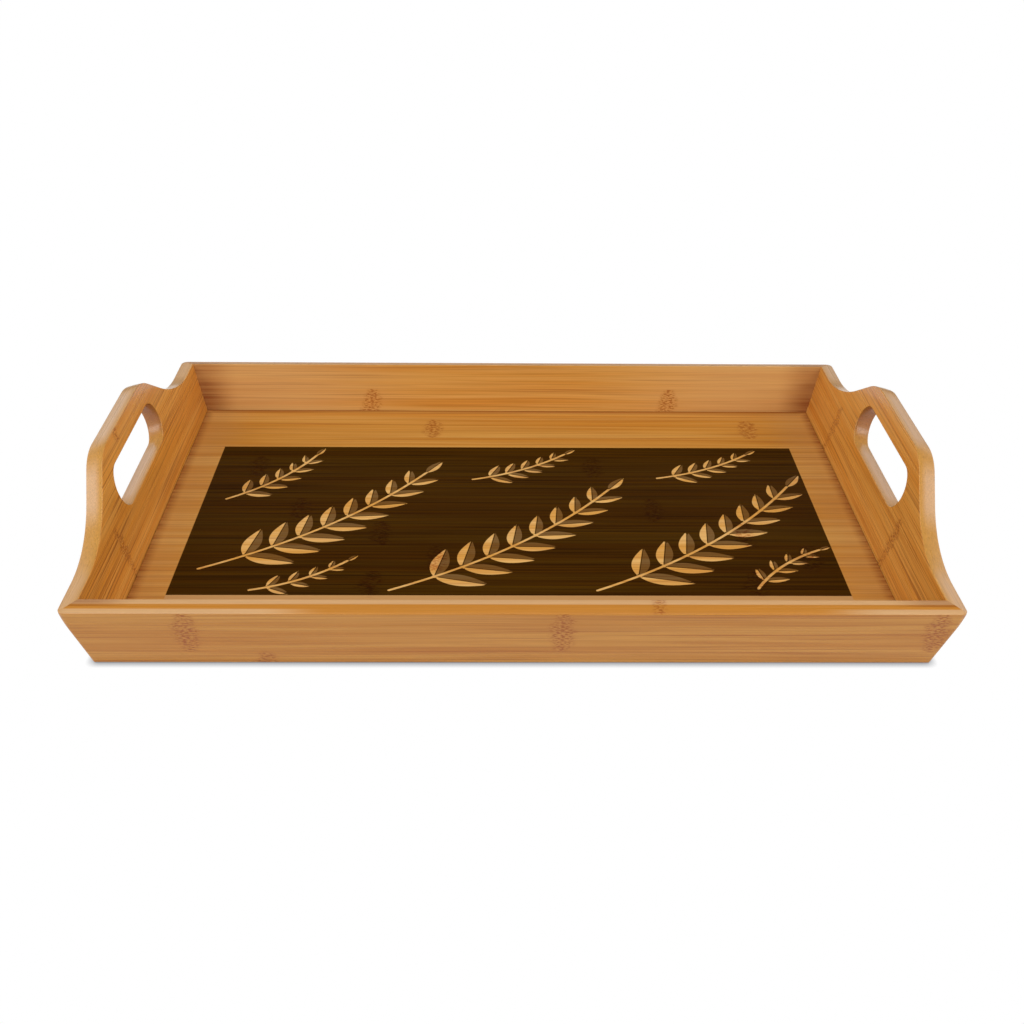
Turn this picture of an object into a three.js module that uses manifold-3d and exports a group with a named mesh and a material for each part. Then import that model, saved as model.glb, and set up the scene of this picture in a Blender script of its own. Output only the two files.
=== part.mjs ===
// Bamboo serving tray: two low rails and two handled end boards, all leaning outwards, mitred at the
// corners with hidden splines, round a three-ply floor that sits in a groove.
// Millimetres, +Z up. The origin is on the table under the middle of the tray, +X runs along it and
// -Y is its front.

import * as THREE from 'three';
import { mergeVertices } from 'three/addons/utils/BufferGeometryUtils.js';
import Module from 'manifold-3d';

// Frame
const BASE_LENGTH = 408; // outside length where the frame stands on the table
const BASE_WIDTH = 268; // outside width there
const FLARE_DEGREES = 15; // lean of every wall away from upright
const BOARD_THICKNESS = 9; // rails and end boards
const RAIL_HEIGHT = 36.9; // up the sloping outer face
const ARRIS_RADIUS = 0.6; // easing of the rim and of the hand holes
const FOOT_CHAMFER = 1; // on the outer edge that meets the table
const CORNER_EASING = 0.5; // depth planed off each corner edge

// Handles
const HANDLE_HEIGHT = 68.4; // up the sloping outer face, to the crest
const CREST_LENGTH = 63; // level stretch at the top
const SHOULDER_RADIUS = 36; // convex curve at each end of the crest
const SLOPE_LENGTH = 18; // straight stretch between the two curves
const SWEEP_RADIUS = 94; // concave curve that runs out at rail height
const HAND_HOLE_LENGTH = 93;
const HAND_HOLE_HEIGHT = 24;
const GRIP_HEIGHT = 12.8; // wood between the hand hole and the crest

// Floor
const FLOOR_TOP = 8.75; // height of the serving surface above the table
const FACE_PLY = 1.5;
const CORE_PLY = 2;
const BACK_PLY = 1.5;
const FLOOR_TONGUE = 3.5; // how far the serving surface runs into the walls

// Splines in the mitres
const SPLINE_THICKNESS = 2;
const SPLINE_INSET = 3.2; // from the inner corner to the middle of the spline
const SPLINE_SIDE_COVER = 3; // wood left between a slot and the outer faces, across the joint
const SPLINE_END_COVER = 4; // wood left above a slot, and below it down to the floor groove

// Clearances
const MITRE_GAP = 0.3;
const GLUE_LINE = 0.05; // between the plies
const GROOVE_CLEARANCE = 0.3; // round the floor in its groove
const SPLINE_CLEARANCE = 0.3; // round a spline in its slot

// Smoothness of the curves
const OUTLINE_SEGMENTS = 7;
const ARRIS_SEGMENTS = 3;

// Values that follow from the sizes above
const UP = new THREE.Vector3(0, 0, 1);
const LEAN = THREE.MathUtils.degToRad(FLARE_DEGREES);
const WALL_RUN = BOARD_THICKNESS / Math.cos(LEAN); // a wall's thickness measured level
const FLOOR_THICKNESS = FACE_PLY + CORE_PLY + BACK_PLY + 2 * GLUE_LINE;
const FLOOR_UNDERSIDE = FLOOR_TOP - FLOOR_THICKNESS;
const FLOOR_INSET = WALL_RUN - FLOOR_TOP * Math.tan(LEAN) - FLOOR_TONGUE; // base edge to floor edge
const FLOOR_LENGTH = BASE_LENGTH - 2 * FLOOR_INSET;
const FLOOR_WIDTH = BASE_WIDTH - 2 * FLOOR_INSET;
const CORNER_LEAN = Math.atan(Math.SQRT2 * Math.tan(LEAN)); // lean of the line where two walls meet
const CORNER_DEPTH = Math.SQRT2 * WALL_RUN * Math.cos(CORNER_LEAN); // outer corner to inner corner
const CUT_REACH = HANDLE_HEIGHT + BOARD_THICKNESS; // takes any cut clear of the wood

const wasm = await Module();
wasm.setup();

const boardMaterial = new THREE.MeshStandardMaterial({ color: 0xbe8850, roughness: 0.42, metalness: 0 });
const endMaterial = new THREE.MeshStandardMaterial({ color: 0xc08a54, roughness: 0.42, metalness: 0 });
const faceMaterial = new THREE.MeshStandardMaterial({ color: 0xb97d3c, roughness: 0.4, metalness: 0 });
const innerMaterial = new THREE.MeshStandardMaterial({ color: 0xcda46c, roughness: 0.7, metalness: 0 });

// A geometry as a solid that can be joined and cut.
function toSolid(geometry) {
  geometry.deleteAttribute('normal');
  geometry.deleteAttribute('uv');
  const merged = mergeVertices(geometry);
  return new wasm.Manifold(new wasm.Mesh({
    numProp: 3,
    vertProperties: merged.attributes.position.array,
    triVerts: new Uint32Array(merged.index.array),
  }));
}

// A cut solid as a geometry again.
function toGeometry(body) {
  const mesh = body.getMesh();
  const geometry = new THREE.BufferGeometry();
  geometry.setAttribute('position', new THREE.BufferAttribute(mesh.vertProperties, 3));
  geometry.setIndex(new THREE.BufferAttribute(mesh.triVerts, 1));
  geometry.computeVertexNormals();
  return geometry;
}

function piece(name, geometry, material) {
  const mesh = new THREE.Mesh(geometry, material);
  mesh.name = name;
  return mesh;
}

// A closed shape with straight sides through the given points.
function polygon(points) {
  return new THREE.Shape(points.map(([x, y]) => new THREE.Vector2(x, y)));
}

function prism(shape, depth) {
  return new THREE.ExtrudeGeometry(shape, { depth, bevelEnabled: false });
}

// Outline of a rail before its ends and foot are cut: x along the rail, y up its outer face.
function railOutline(halfLength) {
  return polygon([
    [-halfLength, -BOARD_THICKNESS],
    [halfLength, -BOARD_THICKNESS],
    [halfLength, RAIL_HEIGHT],
    [-halfLength, RAIL_HEIGHT],
  ]);
}

// Outline of an end board before its ends and foot are cut. From rail height a concave sweep, a
// straight slope and a convex shoulder climb to the crest, each tangent to the next. The slope's
// angle is the one at which the three together rise from rail height to handle height.
function handleOutline(halfLength) {
  const radii = SHOULDER_RADIUS + SWEEP_RADIUS;
  const rise = HANDLE_HEIGHT - RAIL_HEIGHT;
  const slope = Math.acos((radii - rise) / Math.hypot(radii, SLOPE_LENGTH)) - Math.atan2(SLOPE_LENGTH, radii);
  const crestEnd = CREST_LENGTH / 2;
  const sweepEnd = crestEnd + radii * Math.sin(slope) + SLOPE_LENGTH * Math.cos(slope);
  const shoulderY = HANDLE_HEIGHT - SHOULDER_RADIUS;
  const sweepY = RAIL_HEIGHT + SWEEP_RADIUS;
  const quarter = Math.PI / 2;

  const outline = new THREE.Shape();
  outline.moveTo(-halfLength, -BOARD_THICKNESS);
  outline.lineTo(halfLength, -BOARD_THICKNESS);
  outline.lineTo(halfLength, RAIL_HEIGHT);
  outline.lineTo(sweepEnd, RAIL_HEIGHT);
  outline.absarc(sweepEnd, sweepY, SWEEP_RADIUS, -quarter, -quarter - slope, true);
  outline.absarc(crestEnd, shoulderY, SHOULDER_RADIUS, quarter - slope, quarter, false);
  outline.absarc(-crestEnd, shoulderY, SHOULDER_RADIUS, quarter, quarter + slope, false);
  outline.absarc(-sweepEnd, sweepY, SWEEP_RADIUS, -quarter + slope, -quarter, true);
  outline.lineTo(-halfLength, RAIL_HEIGHT);
  outline.closePath();

  const radius = HAND_HOLE_HEIGHT / 2;
  const arcCentre = HAND_HOLE_LENGTH / 2 - radius;
  const centreY = HANDLE_HEIGHT - GRIP_HEIGHT - radius;
  const hole = new THREE.Path();
  hole.absarc(arcCentre, centreY, radius, -quarter, quarter, false);
  hole.absarc(-arcCentre, centreY, radius, quarter, 3 * quarter, false);
  hole.closePath();
  outline.holes.push(hole);
  return outline;
}

// A board of the given outline with every edge rounded, its outer face on z = 0.
function roundedBoard(outline) {
  const board = new THREE.ExtrudeGeometry(outline, {
    depth: BOARD_THICKNESS - 2 * ARRIS_RADIUS,
    curveSegments: OUTLINE_SEGMENTS,
    bevelSegments: ARRIS_SEGMENTS,
    bevelThickness: ARRIS_RADIUS,
    bevelSize: ARRIS_RADIUS,
    bevelOffset: -ARRIS_RADIUS,
  });
  return board.translate(0, 0, ARRIS_RADIUS - BOARD_THICKNESS);
}

// Frame of a wall: X along it, Y up its outer face, Z out of that face.
function wallFrame(outward, baseDistance) {
  const along = UP.clone().cross(outward);
  const slope = outward.clone().multiplyScalar(Math.sin(LEAN)).addScaledVector(UP, Math.cos(LEAN));
  const normal = along.clone().cross(slope);
  const foot = outward.clone().multiplyScalar(baseDistance);
  return new THREE.Matrix4().makeBasis(along, slope, normal).setPosition(foot);
}

// What a wall keeps: the space above the table between its two mitres, each half a gap back.
function mitredSpace(outward, baseDistance, baseLength) {
  const across = outward.clone().cross(UP);
  const foot = outward.clone().multiplyScalar(baseDistance);
  const middle = baseLength / 2 - MITRE_GAP / Math.SQRT2;
  const inner = -2 * WALL_RUN;
  const plan = polygon([
    [-middle - inner, inner],
    [middle + inner, inner],
    [middle + CUT_REACH, CUT_REACH],
    [-middle - CUT_REACH, CUT_REACH],
  ]);
  const place = new THREE.Matrix4().makeBasis(across, outward, UP).setPosition(foot);
  return prism(plan, CUT_REACH).applyMatrix4(place);
}

// The wedge that chamfers a wall's outer foot edge, drawn x outwards and y up.
function footWedge(outward, baseDistance, baseLength) {
  const across = outward.clone().cross(UP);
  const level = new THREE.Vector2(-FOOT_CHAMFER, 0);
  const raised = new THREE.Vector2(Math.sin(LEAN), Math.cos(LEAN)).multiplyScalar(FOOT_CHAMFER);
  const run = raised.clone().sub(level);
  const below = level.clone().sub(run);
  const above = raised.clone().add(run);
  const wedge = polygon([
    [below.x, below.y],
    [above.x, below.y],
    [above.x, above.y],
  ]);
  const length = baseLength + 2 * CUT_REACH;
  const start = outward.clone().multiplyScalar(baseDistance).addScaledVector(across, -length / 2);
  const place = new THREE.Matrix4().makeBasis(outward, UP, across).setPosition(start);
  return prism(wedge, length).applyMatrix4(place);
}

// Frame of a corner: X across the mitre, Y up the outer corner edge, Z out of the corner.
function cornerFrame(sideX, sideY) {
  const diagonal = new THREE.Vector3(sideX, sideY, 0).normalize();
  const across = UP.clone().cross(diagonal);
  const edge = diagonal.clone().multiplyScalar(Math.sin(CORNER_LEAN)).addScaledVector(UP, Math.cos(CORNER_LEAN));
  const out = across.clone().cross(edge);
  const foot = new THREE.Vector3(sideX * BASE_LENGTH / 2, sideY * BASE_WIDTH / 2, 0);
  return new THREE.Matrix4().makeBasis(across, edge, out).setPosition(foot);
}

// The block that planes off the sharp outer edge of a corner.
function cornerBlock(frame) {
  const block = new THREE.BoxGeometry(BOARD_THICKNESS, 2 * CUT_REACH, BOARD_THICKNESS);
  return block.translate(0, 0, BOARD_THICKNESS / 2 - CORNER_EASING).applyMatrix4(frame);
}

// A spline, or its slot when grown by the clearance. It stands in the mitre near the inner corner,
// from above the floor groove to below the rim.
function splineBlock(frame, growth) {
  const depth = CORNER_DEPTH - SPLINE_INSET;
  const slotFront = depth - SPLINE_THICKNESS / 2 - SPLINE_CLEARANCE;
  const width = 2 * (slotFront / Math.cos(CORNER_LEAN) - SPLINE_SIDE_COVER - SPLINE_CLEARANCE);
  const leanRise = depth * Math.sin(CORNER_LEAN);
  const grooveTop = FLOOR_TOP + GROOVE_CLEARANCE;
  const low = (grooveTop + SPLINE_END_COVER - leanRise) / Math.cos(CORNER_LEAN) + SPLINE_CLEARANCE;
  const rim = RAIL_HEIGHT * Math.cos(LEAN);
  const high = (rim - SPLINE_END_COVER - leanRise) / Math.cos(CORNER_LEAN) - SPLINE_CLEARANCE;
  const block = new THREE.BoxGeometry(
    width + 2 * growth,
    high - low + 2 * growth,
    SPLINE_THICKNESS + 2 * growth,
  );
  return block.translate(0, (low + high) / 2, -depth).applyMatrix4(frame);
}

// A level sheet of the floor between two heights.
function floorSheet(low, high, growth) {
  const sheet = new THREE.BoxGeometry(FLOOR_LENGTH + 2 * growth, FLOOR_WIDTH + 2 * growth, high - low);
  return sheet.translate(0, 0, (low + high) / 2);
}

const corners = [
  { name: 'front_left', frame: cornerFrame(-1, -1) },
  { name: 'front_right', frame: cornerFrame(1, -1) },
  { name: 'back_left', frame: cornerFrame(-1, 1) },
  { name: 'back_right', frame: cornerFrame(1, 1) },
];

const floorGroove = toSolid(floorSheet(
  FLOOR_UNDERSIDE - GROOVE_CLEARANCE,
  FLOOR_TOP + GROOVE_CLEARANCE,
  GROOVE_CLEARANCE,
));
const frameCuts = corners.reduce(
  (cuts, { frame }) => cuts
    .add(toSolid(splineBlock(frame, SPLINE_CLEARANCE)))
    .add(toSolid(cornerBlock(frame))),
  floorGroove,
);

// One wall of the frame: a rounded board leaned outwards, mitred, cut level at the foot, and
// grooved and slotted for the floor and the splines.
function wall(name, makeOutline, outward, baseDistance, baseLength, material) {
  const outline = makeOutline(baseLength / 2 + CUT_REACH);
  const board = roundedBoard(outline).applyMatrix4(wallFrame(outward, baseDistance));
  const body = toSolid(board)
    .intersect(toSolid(mitredSpace(outward, baseDistance, baseLength)))
    .subtract(toSolid(footWedge(outward, baseDistance, baseLength)))
    .subtract(frameCuts);
  return piece(name, toGeometry(body), material);
}

const tray = new THREE.Group();
tray.name = 'bamboo_serving_tray';

const front = new THREE.Vector3(0, -1, 0);
const back = new THREE.Vector3(0, 1, 0);
const left = new THREE.Vector3(-1, 0, 0);
const right = new THREE.Vector3(1, 0, 0);
tray.add(wall('front_rail', railOutline, front, BASE_WIDTH / 2, BASE_LENGTH, boardMaterial));
tray.add(wall('back_rail', railOutline, back, BASE_WIDTH / 2, BASE_LENGTH, boardMaterial));
tray.add(wall('left_end_board', handleOutline, left, BASE_LENGTH / 2, BASE_WIDTH, endMaterial));
tray.add(wall('right_end_board', handleOutline, right, BASE_LENGTH / 2, BASE_WIDTH, endMaterial));

const coreTop = FLOOR_TOP - FACE_PLY - GLUE_LINE;
const backTop = FLOOR_UNDERSIDE + BACK_PLY;
tray.add(piece('floor_face_ply', floorSheet(FLOOR_TOP - FACE_PLY, FLOOR_TOP, 0), faceMaterial));
tray.add(piece('floor_core_ply', floorSheet(coreTop - CORE_PLY, coreTop, 0), innerMaterial));
tray.add(piece('floor_back_ply', floorSheet(FLOOR_UNDERSIDE, backTop, 0), faceMaterial));

corners.forEach(({ name, frame }) => {
  tray.add(piece(`corner_spline_${name}`, splineBlock(frame, 0), innerMaterial));
});

export default tray;
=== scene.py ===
"""Looks of a bamboo serving tray: rounded boards, a printed floor, lacquered bamboo and a white studio.

Lengths are metres in the tray's own frame: +X along the tray, -Y its front, +Z up, table at z = 0.
Finishes give theirs in millimetres of a board's own coordinates: along it, across it and out of it.
"""

import logging
import math
from collections.abc import Callable
from dataclasses import dataclass
from enum import Enum

import bmesh
import bpy
import numpy as np
from mathutils import Matrix, Vector


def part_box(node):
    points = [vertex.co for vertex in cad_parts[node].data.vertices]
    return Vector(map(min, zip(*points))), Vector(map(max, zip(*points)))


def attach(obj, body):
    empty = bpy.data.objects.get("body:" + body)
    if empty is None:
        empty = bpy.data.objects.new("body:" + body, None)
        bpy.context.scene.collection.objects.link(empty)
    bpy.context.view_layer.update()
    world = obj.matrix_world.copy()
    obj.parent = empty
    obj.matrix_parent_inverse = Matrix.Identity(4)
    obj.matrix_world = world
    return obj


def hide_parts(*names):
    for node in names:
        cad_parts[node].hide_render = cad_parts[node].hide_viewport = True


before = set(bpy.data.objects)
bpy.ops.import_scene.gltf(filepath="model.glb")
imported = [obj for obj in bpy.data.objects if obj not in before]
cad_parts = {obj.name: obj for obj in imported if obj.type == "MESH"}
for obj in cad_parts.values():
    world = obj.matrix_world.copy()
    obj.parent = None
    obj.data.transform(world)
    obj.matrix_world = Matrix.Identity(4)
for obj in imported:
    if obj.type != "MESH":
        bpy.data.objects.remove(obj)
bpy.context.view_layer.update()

LOG = logging.getLogger("bamboo_tray")
MM = 0.001
UP = np.array((0.0, 0.0, 1.0))
WHITE = (1.0, 1.0, 1.0)

Pair = tuple[float, float]
Triple = tuple[float, float, float]
Colour = Triple
Line = tuple[np.ndarray, np.ndarray]
Section = tuple[np.ndarray, np.ndarray, np.ndarray, np.ndarray]
Socket = bpy.types.NodeSocket
Feed = float | tuple | Socket


class Side(Enum):
    """The four sides of the tray, each with the level direction that it faces."""

    FRONT = (0.0, -1.0)
    BACK = (0.0, 1.0)
    LEFT = (-1.0, 0.0)
    RIGHT = (1.0, 0.0)

    @property
    def outward(self) -> np.ndarray:
        """The unit vector out of this side."""
        return np.array((*self.value, 0.0))

    @property
    def along(self) -> np.ndarray:
        """The unit vector along this side's wall, with up the wall and outwards right-handed."""
        return np.cross(UP, self.outward)


@dataclass(frozen=True)
class TrayShape:
    """Sizes that the tray's pieces share."""

    base_length: float = 407.9 * MM
    base_width: float = 267.9 * MM
    flare: float = math.radians(15)
    board: float = 9 * MM
    rail_height: float = 36.9 * MM
    arris: float = 0.4 * MM
    crown: float = 60 * MM
    corner_ease: float = 1.5 * MM
    tip_ease: float = 4 * MM
    tip_reach: float = 12 * MM
    foot_ease: float = 0.7 * MM
    joint_gap: float = 0.04 * MM
    handle_height: float = 68.4 * MM
    crest_length: float = 63 * MM
    shoulder_radius: float = 36 * MM
    slope_length: float = 18 * MM
    sweep_radius: float = 94 * MM
    hole_length: float = 93 * MM
    hole_height: float = 24 * MM
    grip_height: float = 12.8 * MM

    @property
    def sine(self) -> float:
        """Sine of the walls' lean."""
        return math.sin(self.flare)

    @property
    def cosine(self) -> float:
        """Cosine of the walls' lean."""
        return math.cos(self.flare)

    @property
    def edge_lean(self) -> float:
        """Angle at which an edge's shallow crown runs into the small arc at its arris."""
        return math.asin((self.board / 2 - self.arris) / (self.crown - self.arris))

    @property
    def edge_inset(self) -> float:
        """How far below the crown's top a rounded edge meets the board's faces."""
        return self.crown - (self.crown - self.arris) * math.cos(self.edge_lean)

    @property
    def half_bases(self) -> np.ndarray:
        """Half the length and half the width of the tray at its base, outside."""
        return np.array((self.base_length / 2, self.base_width / 2))

    def inner_reach(self, height: float) -> np.ndarray:
        """From the tray's middle to the end boards' and the rails' inner faces, at a height."""
        return self.half_bases - self.board / self.cosine + height * math.tan(self.flare)


# Spacing of the points: across an eased edge, across a face, round an arris and over an edge's crown,
# along a rail's half and an end board's run, and along the hand hole's straight and its round ends.
EDGE_STEPS = np.array((0.0, 0.15, 0.4, 0.75, 1.15, 1.6, 2.1, 2.6, 3.2, 4.0)) * MM
FACE_SHARES = np.concatenate(((0.03, 0.1), np.linspace(0.2, 0.8, 5), (0.9, 0.97)))
FOOT_SHARES = np.linspace(0.52, 0.8, 3)
EVEN_SHARES = np.linspace(0, 1, 9)[1:]
LAST_SHARE = 0.96
ARC_STEPS = 7
CROWN_STEPS = 9
RAIL_COLUMNS = 12
RUN_COLUMNS = 56
HOLE_COLUMNS = 29
HOLE_ARC_STEPS = 17

TINY = 1e-12
MERGE_DISTANCE = 0.001 * MM
SHARP_ANGLE = math.radians(32)


def soften_edge(first: np.ndarray, second: np.ndarray, radius: float | np.ndarray) -> Line:
    """Rounds the edge where two faces meet.

    A point's depths under the two faces, counted back from the radius, are a point of a square.
    It is drawn in towards the square's far corner by its longer side over its length, which turns
    the square into a quarter disc.

    Args:
        first: depths under the first face.
        second: depths under the second face.
        radius: radius of the rounding, one for all points or one for each.

    Returns:
        The two depths after rounding.
    """
    a, b = radius - first, radius - second
    inside = (a > 0) & (b > 0)
    shrink = np.where(inside, np.maximum(a, b) / np.maximum(np.hypot(a, b), TINY), 1.0)
    return np.where(inside, radius - a * shrink, first), np.where(inside, radius - b * shrink, second)


def picked(line: Line, index: int) -> Line:
    """One point of each column, as columns by 1."""
    return line[0][:, [index]], line[1][:, [index]]


def face_points(near: Line, far: Line, from_foot: bool = False, with_first: bool = False) -> Line:
    """Points across a flat face between two lines of points, without the far line.

    Each point is the near point plus a share of the way to the far one. Next to the foot the shares
    start with the fine steps that its rounding needs.

    Args:
        near: along and rise of the near line, columns by 1.
        far: along and rise of the far line, columns by 1.
        from_foot: whether the near line is the foot.
        with_first: whether the near line itself is included.

    Returns:
        Along and rise, columns by points.
    """
    length = np.hypot(far[0] - near[0], far[1] - near[1])
    shares = np.broadcast_to(FACE_SHARES, (len(length), len(FACE_SHARES)))
    if from_foot:
        fine = EDGE_STEPS[1:] / length
        even = fine[:, -1:] + EVEN_SHARES * (LAST_SHARE - fine[:, -1:])
        shares = np.concatenate((fine, even), axis=1)
    if with_first:
        shares = np.concatenate((np.zeros_like(length), shares), axis=1)
    return near[0] + shares * (far[0] - near[0]), near[1] + shares * (far[1] - near[1])


def end_shares(span: float, count: int) -> np.ndarray:
    """Shares from 0 to 1 along a span, evenly at first and then in the fine steps of an eased edge."""
    fine = 1 - EDGE_STEPS[::-1] / span
    return np.concatenate((np.linspace(0, fine[0], count)[:-1], fine))


def joined(*parts: tuple[Line, float | np.ndarray, float | np.ndarray]) -> Section:
    """Joins stretches of a section's loop.

    Args:
        parts: for each stretch its along and rise, its depth and its cut.

    Returns:
        Along, rise, depth and cut of the whole loop, columns by points.
    """
    along = np.concatenate([line[0] for line, _, _ in parts], axis=1)
    rise = np.concatenate([line[1] for line, _, _ in parts], axis=1)
    depth = np.concatenate([np.broadcast_to(d, line[0].shape) for line, d, _ in parts], axis=1)
    cut = np.concatenate([np.broadcast_to(c, line[0].shape) for line, _, c in parts], axis=1)
    return along, rise, depth, cut


class Grid:
    """Vertices and faces of one piece, gathered from several grids of points."""

    def __init__(self) -> None:
        """Starts with nothing."""
        self.points: list[np.ndarray] = []
        self.cuts: list[np.ndarray] = []
        self.quads: list[np.ndarray] = []
        self.caps: list[np.ndarray] = []
        self.count = 0

    def add_tube(self, points: np.ndarray, cuts: np.ndarray, caps: tuple[int, ...] = ()) -> None:
        """Adds closed loops of points joined into a tube.

        Args:
            points: array of loops by points by 3.
            cuts: 0 on a face, 1 on a sawn edge and up to 2 where that is darkened: stained end grain at the
                hand hole's ends and painted shade under its roof; loops by points.
            caps: which loops, 0 or -1, are closed by a flat face.
        """
        loops, size = points.shape[:2]
        index = self.count + np.arange(loops * size).reshape(loops, size)
        turned = np.roll(index, -1, axis=1)
        faces = np.stack((index[:-1], turned[:-1], turned[1:], index[1:]), axis=-1)
        self.points.append(points.reshape(-1, 3))
        self.cuts.append(cuts.reshape(-1))
        self.quads.append(faces.reshape(-1, 4))
        self.caps.extend(index[cap] for cap in caps)
        self.count += loops * size

    def build(self, name: str, ease: Callable[[np.ndarray], np.ndarray]) -> bpy.types.Object:
        """Makes the piece's object.

        Args:
            name: the piece's name.
            ease: function from an array of points to the same points with the outer edges rounded.

        Returns:
            The new object, linked to the scene.
        """
        points = ease(np.concatenate(self.points))
        cuts = np.concatenate(self.cuts).astype(np.float32)
        faces = np.concatenate(self.quads).tolist() + [cap.tolist() for cap in self.caps]
        mesh = bpy.data.meshes.new(name)
        mesh.from_pydata(points, [], faces)
        mesh.attributes.new("cut", "FLOAT", "POINT").data.foreach_set("value", cuts)
        return finished_object(name, mesh)


def finished_object(name: str, mesh: bpy.types.Mesh) -> bpy.types.Object:
    """Merges doubled points, turns the faces outwards, shades small angles smooth and links the piece.

    Args:
        name: the piece's name.
        mesh: the mesh.

    Returns:
        The piece's object, riding on the tray.
    """
    bench = bmesh.new()
    bench.from_mesh(mesh)
    bmesh.ops.remove_doubles(bench, verts=bench.verts, dist=MERGE_DISTANCE)
    bmesh.ops.recalc_face_normals(bench, faces=bench.faces)
    bench.to_mesh(mesh)
    bench.free()
    mesh.shade_smooth()
    mesh.set_sharp_from_angle(angle=SHARP_ANGLE)
    piece = bpy.data.objects.new(name, mesh)
    bpy.context.scene.collection.objects.link(piece)
    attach(piece, "root")
    return piece


@dataclass
class Wall:
    """A leaning wall in board coordinates: along it, up its outer face, and inwards from that face."""

    shape: TrayShape
    side: Side
    name: str

    @property
    def base_distance(self) -> float:
        """From the middle of the tray to the wall's outer base edge."""
        return self.shape.half_bases[1 if self.side in (Side.FRONT, Side.BACK) else 0]

    @property
    def half_base(self) -> float:
        """Half the length of the wall's outer base edge."""
        return self.shape.half_bases[0 if self.side in (Side.FRONT, Side.BACK) else 1]

    @property
    def foot_depths(self) -> np.ndarray:
        """Depths of points across the foot, from the inner face to the fine steps of the outer edge."""
        return np.concatenate((EDGE_STEPS, FOOT_SHARES * self.shape.board, (self.shape.board,)))[::-1]

    def frame(self) -> Matrix:
        """Rows that turn the tray's directions into along, up the face and out of it."""
        up_face = self.side.outward * self.shape.sine + UP * self.shape.cosine
        return Matrix((self.side.along, up_face, np.cross(self.side.along, up_face)))

    def world(self, along: np.ndarray, rise: np.ndarray, depth: np.ndarray) -> np.ndarray:
        """Points in the tray's frame.

        A point lies its along on the wall's line, its rise up the leaning outer face, and its depth
        square into the board.

        Args:
            along: distances along the wall from its middle.
            rise: distances up the outer face from the base edge.
            depth: distances in from the outer face.

        Returns:
            An array with one more axis, of 3.
        """
        reach = self.base_distance + rise * self.shape.sine - depth * self.shape.cosine
        height = rise * self.shape.cosine + depth * self.shape.sine
        level = along[..., None] * self.side.along + reach[..., None] * self.side.outward
        return level + height[..., None] * UP

    def mitre(self, rise: np.ndarray, depth: np.ndarray) -> np.ndarray:
        """Half length at the mitres: more by the rise times the lean's sine, less by depth times cosine."""
        return self.half_base + rise * self.shape.sine - depth * self.shape.cosine - self.shape.joint_gap

    def foot(self, depth: np.ndarray) -> np.ndarray:
        """Rise at which the wall meets the table: below the outer base edge by depth times the tangent."""
        return -depth * math.tan(self.shape.flare)

    def top(self, along: np.ndarray) -> Line:
        """Rise of the wall's top edge and its slope, here level all along."""
        return np.full_like(along, self.shape.rail_height), np.zeros_like(along)

    def round_edge(self) -> tuple[np.ndarray, np.ndarray, np.ndarray]:
        """Section of a sawn and sanded board edge, from the outer face to the inner one.

        A shallow crown, an arc of large radius over the middle of the edge, runs at each side into a
        small arc that is tangent to it and to the face.

        Returns:
            Insets from the edge, depths from the outer face, and how far each lies on the sawn edge.
        """
        shape = self.shape
        crown = np.linspace(-shape.edge_lean, shape.edge_lean, CROWN_STEPS)[1:-1]
        arc = np.linspace(shape.edge_lean, math.pi / 2, ARC_STEPS)
        depth = shape.board / 2 - shape.arris + shape.arris * np.sin(arc)
        inset = shape.edge_inset - shape.arris * np.cos(arc)
        ramp = (math.pi / 2 - arc) / (math.pi / 2 - shape.edge_lean)
        depths = shape.board / 2 + np.concatenate((-depth[::-1], shape.crown * np.sin(crown), depth))
        insets = np.concatenate((inset[::-1], shape.crown * (1 - np.cos(crown)), inset))
        return insets, depths, np.concatenate((ramp[::-1], np.ones_like(crown), ramp))

    def top_edge(self, along: np.ndarray, insets: np.ndarray) -> Line:
        """Points of the rounded top edge, each set in square to the outline by its inset.

        Args:
            along: columns by edge points.
            insets: edge points.

        Returns:
            Along and rise, columns by edge points.
        """
        rise, slope = self.top(along)
        length = np.hypot(1, slope)
        return along + insets * slope / length, rise - insets / length

    def ease(self, points: np.ndarray) -> np.ndarray:
        """Rounds the tray's outer corner edges and its outer foot edge.

        The depths of each point under the two outer faces of its corner, and its height over the
        table, are rounded in pairs, and the point moves by what its depths have changed. Towards the
        rim the corner's radius grows with the square of the nearness.

        Args:
            points: array of points by 3.

        Returns:
            The moved points.
        """
        shape = self.shape
        side = np.where(points[:, :2] < 0, -1.0, 1.0)
        outer = shape.half_bases + points[:, 2:] * math.tan(shape.flare)
        under = (outer - np.abs(points[:, :2])) * shape.cosine
        height = points[:, 2]
        near_rim = np.clip(1 - (shape.rail_height * shape.cosine - height) / shape.tip_reach, 0, 1) ** 2
        radius = shape.corner_ease + (shape.tip_ease - shape.corner_ease) * near_rim
        soft = np.stack(soften_edge(under[:, 0], under[:, 1], radius), axis=1)
        lifted = height.copy()
        for axis in (0, 1):
            soft[:, axis], lifted = soften_edge(soft[:, axis], lifted, shape.foot_ease)
        moved = points.copy()
        moved[:, :2] -= side * (soft - under) * shape.cosine
        moved[:, 2] += lifted - height
        return moved

    def dress(self, piece: bpy.types.Object, material: bpy.types.Material, slot: str) -> None:
        """Gives the piece its finish and lets it stand for its CAD node.

        Args:
            piece: the wall's object.
            material: its finish.
            slot: the record's material slot; not used.
        """
        piece.data.materials.append(material)
        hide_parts(self.name)
        LOG.info("%s: %d faces", piece.name, len(piece.data.polygons))

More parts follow.
